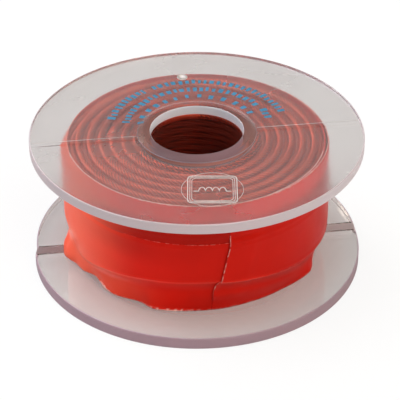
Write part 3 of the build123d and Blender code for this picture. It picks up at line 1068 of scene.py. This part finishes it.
class InductorAddMouldings(bpy.types.Operator):
    """Adds the gate mark and the moulded ring with a plain coil symbol."""

    bl_idname = "inductor.add_mouldings"
    bl_label = "Add Mouldings"

    def execute(self, context):
        s = context.scene.inductor_marks
        top = BOBBIN_TOP - 1000 * context.scene.inductor_bobbin.rim_height
        material = frosted_plastic(context.scene.inductor_bobbin)
        gate_place = 27.4 * np.array([np.cos(np.radians(98)), np.sin(np.radians(98))])
        radius = 1000 * s.gate_radius
        profile = np.array(
            [(0.0, top - 0.05), (radius, top - 0.05), (radius, top + 0.1), (radius - 0.15, top + 0.22), (0.0, top + 0.25)]
        )
        gate = dome(profile, gate_place, 32)
        gate_piece = closed_mesh("gate_mark", [gate], material)
        centre = 26.3 * np.array([np.cos(np.radians(-82)), np.sin(np.radians(-82))])
        ring = ring_about(centre, 1000 * s.ring_radius, 0.07, top, 96)
        symbol = coil_symbol(centre, top)
        lines = moulded_line(context.scene.inductor_bobbin)
        ring_piece = closed_mesh("moulded_ring", [ring, *symbol], lines)
        # Witness lines, where the two halves of the mould met.
        b = context.scene.inductor_bobbin
        foot = 1000 * (b.bore_radius + b.rim_land + b.rim_slope)
        witness, turn = [], b.parting_angle
        for side in (1, -1):
            reach = side * np.linspace(foot + 0.3, 1000 * b.flange_radius - 0.9, 30)[:, None]
            path = reach * np.array([[np.cos(turn), np.sin(turn)]])
            witness.append(line_about(path, 0.13, top - 0.03, top + 0.02, False))
        faint = frosted_plastic(b, "witness_line", 0.7)
        witness_piece = closed_mesh("witness_lines", witness, faint)
        return {"FINISHED"}


def dome(profile, centre, steps):
    """Closed disc: an open profile of (radius, height) that starts and ends on its own axis, turned about a centre.
    Its two poles are one point each."""
    angles = np.linspace(0, 2 * np.pi, steps, endpoint=False)
    middle = profile[1:-1]
    ring = turned(middle, angles)
    ring[..., :2] += centre
    points = np.concatenate([ring.reshape(-1, 3), [[*centre, profile[0, 1]]], [[*centre, profile[-1, 1]]]])
    columns = len(middle)
    faces = quads(steps, columns, True, False)
    number = np.arange(steps) * columns
    after = np.roll(number, -1)
    foot, peak = steps * columns, steps * columns + 1
    low = np.stack([after, number, np.full(steps, foot), np.full(steps, foot)], -1)
    high = np.stack([number + columns - 1, after + columns - 1, np.full(steps, peak), np.full(steps, peak)], -1)
    return points, np.concatenate([faces, low[:, ::-1], high[:, ::-1]]), {}


def line_about(path, width, low, high, closed):
    """Closed raised line along a flat path: at each point half the width to each side of the path, at the low and
    the high level."""
    run = np.roll(path, -1, 0) - np.roll(path, 1, 0) if closed else np.gradient(path, axis=0)
    run = run / np.linalg.norm(run, axis=1)[:, None]
    side = np.stack([-run[:, 1], run[:, 0]], -1) * width / 2
    left, right = path + side, path - side
    section = [
        np.column_stack([left, np.full(len(path), low)]),
        np.column_stack([right, np.full(len(path), low)]),
        np.column_stack([right, np.full(len(path), high)]),
        np.column_stack([left, np.full(len(path), high)]),
    ]
    points = np.stack(section, 1)
    faces = quads(len(path), 4, closed, True)
    if not closed:
        tail = (len(path) - 1) * 4
        caps = np.array([[0, 1, 2, 3], [tail + 3, tail + 2, tail + 1, tail]])
        faces = np.concatenate([faces, caps])
    return points.reshape(-1, 3), faces, {}


def ring_about(centre, radius, width, top, steps):
    """Raised ring on the flange: a circle about a centre drawn as a line."""
    angles = np.linspace(0, 2 * np.pi, steps, endpoint=False)
    path = centre + radius * np.stack([np.cos(angles), np.sin(angles)], -1)
    return line_about(path, width, top - 0.03, top + 0.04, True)


def coil_symbol(centre, top):
    """The usual sign for a coil inside a rounded frame: four half circles in a row with a straight lead at each
    end, and two frames with rounded corners round it."""
    parts = []
    for half, width in ((5.75, 0.2), (5.25, 0.13), (4.8, 0.11)):
        corners = np.array([(-half, -half), (half, -half), (half, half), (-half, half)])
        path = rounded(corners, [1.1] * 4, 7, 0.05)
        parts.append(line_about(path + centre, width, top - 0.03, top + 0.09, True))
    bumps, size = 4, 0.8
    angle = np.linspace(np.pi, 0, 9)
    loops = [
        np.stack([size * np.cos(angle) + size * (2 * place - bumps + 1), 2.1 * size * np.sin(angle) - 0.8], -1)
        for place in range(bumps)
    ]
    path = np.concatenate([[[-4.4, -0.8]], *loops, [[4.4, -0.8]]])
    path = path[np.append(True, np.linalg.norm(np.diff(path, axis=0), axis=1) > 1e-6)]
    parts.append(line_about(path + centre, 0.19, top - 0.03, top + 0.09, False))
    return parts


def soft_light(name, place, size, power, tint=(1.0, 1.0, 1.0), target=(0.0, 0.0, 0.016)):
    """A square soft light that faces a point."""
    data = bpy.data.lights.new(name, "AREA")
    data.shape, data.size, data.size_y = "RECTANGLE", size[0], size[1]
    data.energy, data.color = power, tint
    lamp = bpy.data.objects.new(name, data)
    bpy.context.scene.collection.objects.link(lamp)
    lamp.location = place
    towards = np.array(target) - np.array(place)
    lamp.rotation_euler = track(towards)
    return lamp


def undimmed(tree, light):
    """One for light that reaches the eye without having lit a matt surface on its way, and nought for the rest."""
    return add(tree, "ShaderNodeMath", {0: light.outputs["Diffuse Depth"], 1: 0.5}, operation="LESS_THAN").outputs[0]


def track(direction):
    """Turn that points an object's minus Z along a direction with its Y kept upwards."""
    from mathutils import Vector

    return Vector(direction).to_track_quat("-Z", "Y").to_euler()


class InductorAddStage(bpy.types.Operator):
    """Adds the floor, the soft light, the pale surroundings and the camera."""

    bl_idname = "inductor.add_stage"
    bl_label = "Add Stage"

    def execute(self, context):
        s = context.scene.inductor_stage
        scene = context.scene
        # Floor
        side = np.array([(-3, -3), (3, -3), (3, 3), (-3, 3)], float)
        mesh = bpy.data.meshes.new("floor")
        mesh.from_pydata(np.column_stack([side, np.full(4, -0.00005)]), [], [[0, 1, 2, 3]])
        floor = bpy.data.objects.new("floor", mesh)
        scene.collection.objects.link(floor)
        material, tree, surface, output = new_material("pale_floor")
        surface.inputs["Base Color"].default_value = (0.8, 0.8, 0.8, 1)
        surface.inputs["Roughness"].default_value = 0.9
        surface.inputs["Specular IOR Level"].default_value = 0.1
        light = add(tree, "ShaderNodeLightPath")
        glow = add(tree, "ShaderNodeEmission", {"Color": (1, 1, 1, 1), "Strength": 1.0})
        dark = add(tree, "ShaderNodeBsdfDiffuse", {"Color": (0.45, 0.45, 0.45, 1)})
        # White to the eye but for a little shadow, more of it through plastic, and dimmer in reflections.
        last = surface
        for ray, shader, amount in (
            ("Is Glossy Ray", dark, 1.0),
            ("Is Transmission Ray", surface, 1.0),
            ("Is Transmission Ray", glow, 1.0 - s.shadow_through),
            ("Is Camera Ray", glow, 1.0 - s.shadow),
        ):
            share = add(tree, "ShaderNodeMath", {0: light.outputs[ray], 1: amount}, operation="MULTIPLY")
            if shader == glow:
                share = add(tree, "ShaderNodeMath", {0: share.outputs[0], 1: undimmed(tree, light)}, operation="MULTIPLY")
            blend = add(tree, "ShaderNodeMixShader", {0: share.outputs[0]})
            tree.links.new(last.outputs[0], blend.inputs[1])
            tree.links.new(shader.outputs[0], blend.inputs[2])
            last = blend
        tree.links.new(last.outputs[0], output.inputs["Surface"])
        mesh.materials.append(material)
        # Surroundings
        world = bpy.data.worlds.new("pale_surroundings")
        world.use_nodes = True
        tree = world.node_tree
        tree.nodes.clear()
        direction = add(tree, "ShaderNodeTexCoord").outputs["Generated"]
        parts = add(tree, "ShaderNodeSeparateXYZ", {0: direction})
        above = add(
            tree,
            "ShaderNodeMapRange",
            {"Value": parts.outputs["Z"], "From Min": 0.05, "From Max": 0.45, "To Min": 0.9, "To Max": 0.26},
            interpolation_type="SMOOTHSTEP",
        )
        behind = add(
            tree,
            "ShaderNodeMapRange",
            {"Value": parts.outputs["Y"], "From Min": -0.6, "From Max": 0.2, "To Min": 0.1, "To Max": above.outputs[0]},
            interpolation_type="SMOOTHSTEP",
        )
        light = add(tree, "ShaderNodeLightPath")
        mirror = add(tree, "ShaderNodeBackground", {"Color": (1, 1, 1, 1), "Strength": behind.outputs["Result"]})
        plain = add(tree, "ShaderNodeBackground", {"Color": (1, 0.98, 0.92, 1), "Strength": 0.62})
        white = add(tree, "ShaderNodeBackground", {"Color": (1, 1, 1, 1), "Strength": 1.0})
        mirrored = add(
            tree,
            "ShaderNodeMath",
            {0: light.outputs["Is Glossy Ray"], 1: light.outputs["Is Transmission Ray"]},
            operation="SUBTRACT",
            use_clamp=True,
        )
        glossy = add(tree, "ShaderNodeMixShader", {0: mirrored.outputs[0]})
        tree.links.new(plain.outputs[0], glossy.inputs[1])
        tree.links.new(mirror.outputs[0], glossy.inputs[2])
        clear = add(
            tree,
            "ShaderNodeMath",
            {0: light.outputs["Is Camera Ray"], 1: light.outputs["Is Transmission Ray"]},
            operation="MAXIMUM",
        )
        seen = add(tree, "ShaderNodeMath", {0: clear.outputs[0], 1: undimmed(tree, light)}, operation="MULTIPLY")
        choose = add(tree, "ShaderNodeMixShader", {0: seen.outputs[0]})
        tree.links.new(glossy.outputs[0], choose.inputs[1])
        tree.links.new(white.outputs[0], choose.inputs[2])
        result = add(tree, "ShaderNodeOutputWorld")
        tree.links.new(choose.outputs[0], result.inputs["Surface"])
        scene.world = world
        # Light
        soft_light("main_light", (-0.37, 0.14, 0.66), (0.3, 0.3), 3.2, (0.8, 0.87, 1.0))
        soft_light("right_light", (0.31, -0.37, 0.56), (0.3, 0.3), 2.0, (1.0, 0.97, 0.8))
        soft_light("side_light", (0.6, -0.1, 0.42), (0.3, 0.45), 0.5, (1.0, 0.85, 0.6))
        soft_light("rear_light", (-0.42, 0.48, 0.4), (0.2, 0.2), 1.2, (1.0, 0.92, 0.8))
        # Camera
        data = bpy.data.cameras.new("camera")
        data.lens, data.sensor_width, data.clip_start = s.lens, 36.0, 0.01
        camera = bpy.data.objects.new("camera", data)
        scene.collection.objects.link(camera)
        target = np.array([0.00077, 0.0, 0.01529])
        lift, distance = np.radians(33.10), 0.4626
        camera.location = target + distance * np.array([0.0, -np.cos(lift), np.sin(lift)])
        camera.rotation_euler = track(target - np.array(camera.location))
        scene.camera = camera
        scene.view_settings.view_transform = "Standard"
        return {"FINISHED"}


class InductorPanel(bpy.types.Panel):
    """Lists the inductor's pieces and their settings."""

    bl_idname = "INDUCTOR_PT_pieces"
    bl_label = "Air Core Inductor"
    bl_space_type = "VIEW_3D"
    bl_region_type = "UI"
    bl_category = "Inductor"

    def draw(self, context):
        for group_name, kind in SETTINGS.items():
            box = self.layout.box()
            for key in kind.__annotations__:
                box.prop(getattr(context.scene, group_name), key)
        for operator in OPERATORS:
            self.layout.operator(operator.bl_idname)


OPERATORS = (
    InductorAddStage,
    InductorAddBobbin,
    InductorAddWinding,
    InductorAddTape,
    InductorAddPrinting,
    InductorAddMouldings,
)


def register():
    for kind in (*SETTINGS.values(), *OPERATORS, InductorPanel):
        bpy.utils.register_class(kind)
    for name, kind in SETTINGS.items():
        setattr(bpy.types.Scene, name, PointerProperty(type=kind))


def unregister():
    for name in SETTINGS:
        delattr(bpy.types.Scene, name)
    for kind in (InductorPanel, *reversed(OPERATORS), *reversed(SETTINGS.values())):
        bpy.utils.unregister_class(kind)


def main():
    register()
    bpy.ops.inductor.add_stage()
    bpy.ops.inductor.add_bobbin()
    bpy.ops.inductor.add_winding()
    bpy.ops.inductor.add_tape()
    bpy.ops.inductor.add_printing()
    bpy.ops.inductor.add_mouldings()


if __name__ == "__main__":
    main()
